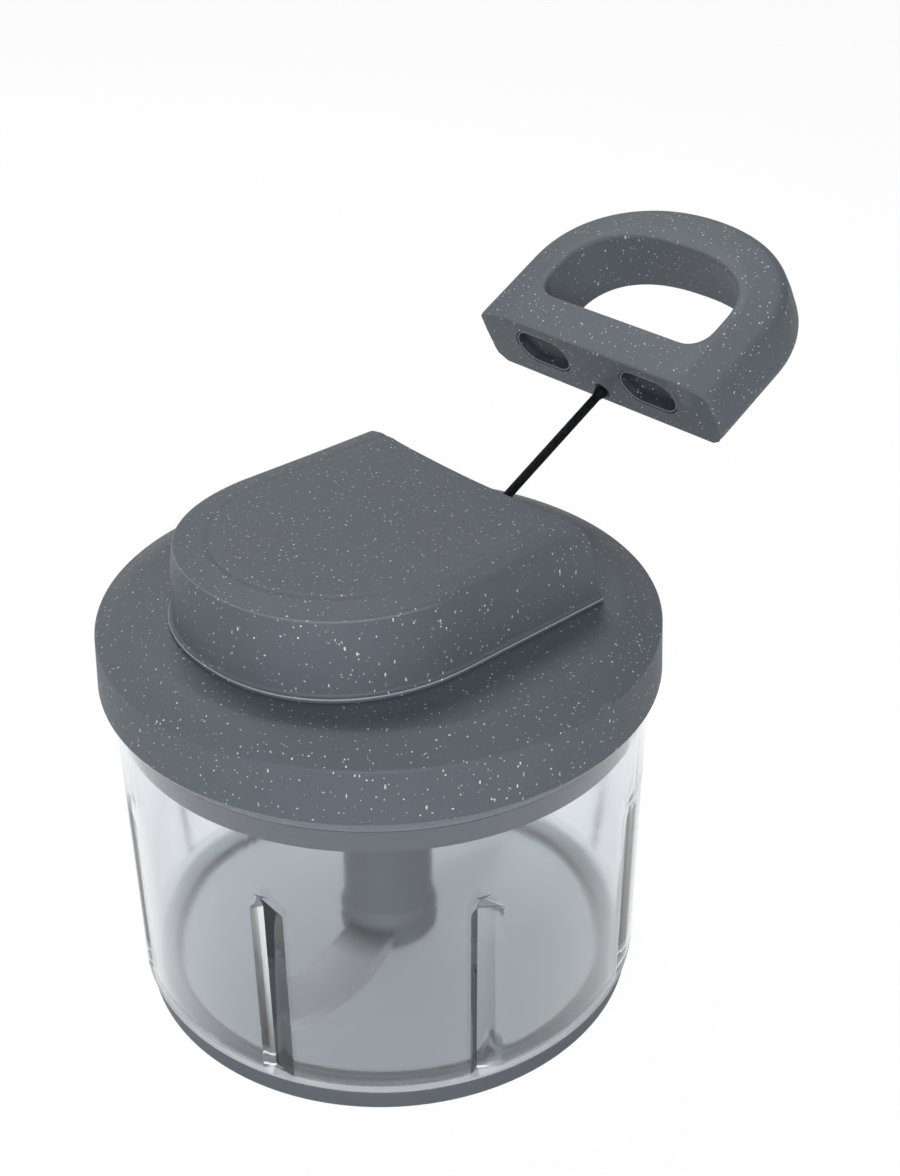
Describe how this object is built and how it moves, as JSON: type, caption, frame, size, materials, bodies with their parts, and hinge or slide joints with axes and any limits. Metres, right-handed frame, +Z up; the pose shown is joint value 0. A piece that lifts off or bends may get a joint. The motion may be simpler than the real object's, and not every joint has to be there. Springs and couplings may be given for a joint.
{
  "type": "pull cord food chopper",
  "caption": "Hand food chopper: clear ribbed bowl with a loose blade unit, and a lid whose D-shaped dome holds a cord recoil with a pull handle.",
  "frame": {"origin": "middle of the bowl's underside, on the foot of its centre boss, level with the base ring's underside", "axes": "+Z up the bowl's axis; +Y the way the cord leaves the dome's flat face; +X to the side"},
  "size_m": [0.134, 0.1887, 0.1686],
  "materials": {
    "slate_plastic": "matt slate grey moulding with fine pale flecks",
    "clear_plastic": "clear polished moulding",
    "grey_rubber": "matt soft moulding",
    "steel": "plain machined steel",
    "blade_steel": "satin stainless with a ground edge",
    "white_plastic": "natural white mechanism plastic",
    "black_cord": "braided black cord"
  },
  "bodies": {
    "bowl": {"bowl": "clear_plastic", "base_ring": "grey_rubber", "pivot_pin": "steel"},
    "blades": {"blade_hub": "slate_plastic", "hub_bush": "white_plastic", "lower_blade": "blade_steel", "upper_blade": "blade_steel"},
    "lid": {"lid_disc": "slate_plastic", "inner_cover": "slate_plastic", "lid_seal": "grey_rubber", "cover_screw_1": "steel", "cover_screw_2": "steel", "cover_screw_3": "steel", "cover_screw_4": "steel", "dome_screw_1": "steel", "dome_screw_2": "steel", "dome_screw_3": "steel", "dome_cover": "slate_plastic", "docking_stud_1": "grey_rubber", "docking_stud_2": "grey_rubber", "cord_eyelet": "steel", "axle_pin": "steel", "thrust_washer": "steel", "shaft_bush": "white_plastic", "power_spring": "steel", "cord_lead": "black_cord"},
    "spool": {"cord_spool": "white_plastic", "cord_winding": "black_cord", "spring_cover": "white_plastic", "pawl_1": "white_plastic", "pawl_2": "white_plastic", "pawl_spring_1": "steel", "pawl_spring_2": "steel"},
    "drive": {"drive_coupler": "white_plastic"},
    "cord_stub": {"cord_in_eyelet": "black_cord"},
    "cord_run": {"pull_cord": "black_cord"},
    "handle": {"pull_handle": "slate_plastic", "cord_in_handle": "black_cord", "cord_knot": "black_cord"}
  },
  "joints": [
    {"name": "lid_lift", "type": "slide", "parent": "bowl", "child": "lid", "axis": [0, 0, 1], "range_m": [0, 0.09]},
    {"name": "blade_spin", "type": "hinge", "parent": "bowl", "child": "blades", "pos_m": [0, 0, 0.02], "axis": [0, 0, 1], "range_deg": [0, 819]},
    {"name": "spool_spin", "type": "hinge", "parent": "lid", "child": "spool", "pos_m": [0, 0, 0.11], "axis": [0, 0, 1], "range_deg": [0, 819]},
    {"name": "drive_spin", "type": "hinge", "parent": "lid", "child": "drive", "pos_m": [0, 0, 0.085], "axis": [0, 0, 1], "range_deg": [0, 819]},
    {"name": "cord_swing", "type": "hinge", "parent": "lid", "child": "cord_stub", "pos_m": [0, 0.03191, 0.10886], "axis": [1, 0, 0], "range_deg": [-15.25, 0]},
    {"name": "handle_dock", "type": "slide", "parent": "cord_stub", "child": "cord_run", "axis": [0, 0.8813, 0.4726], "range_m": [-0.0473, 0], "deforming": ["pull_cord"]},
    {"name": "handle_pull", "type": "slide", "parent": "cord_run", "child": "handle", "axis": [0, 0.8813, 0.4726], "range_m": [0, 0.3]}
  ],
  "couplings": [
    {"joint": "cord_swing", "follows": "handle_dock", "rad_per_m": 5.609},
    {"joint": "spool_spin", "follows": "handle_pull", "rad_per_m": 47.62},
    {"joint": "drive_spin", "follows": "handle_pull", "rad_per_m": 47.62},
    {"joint": "blade_spin", "follows": "handle_pull", "rad_per_m": 47.62}
  ]
}
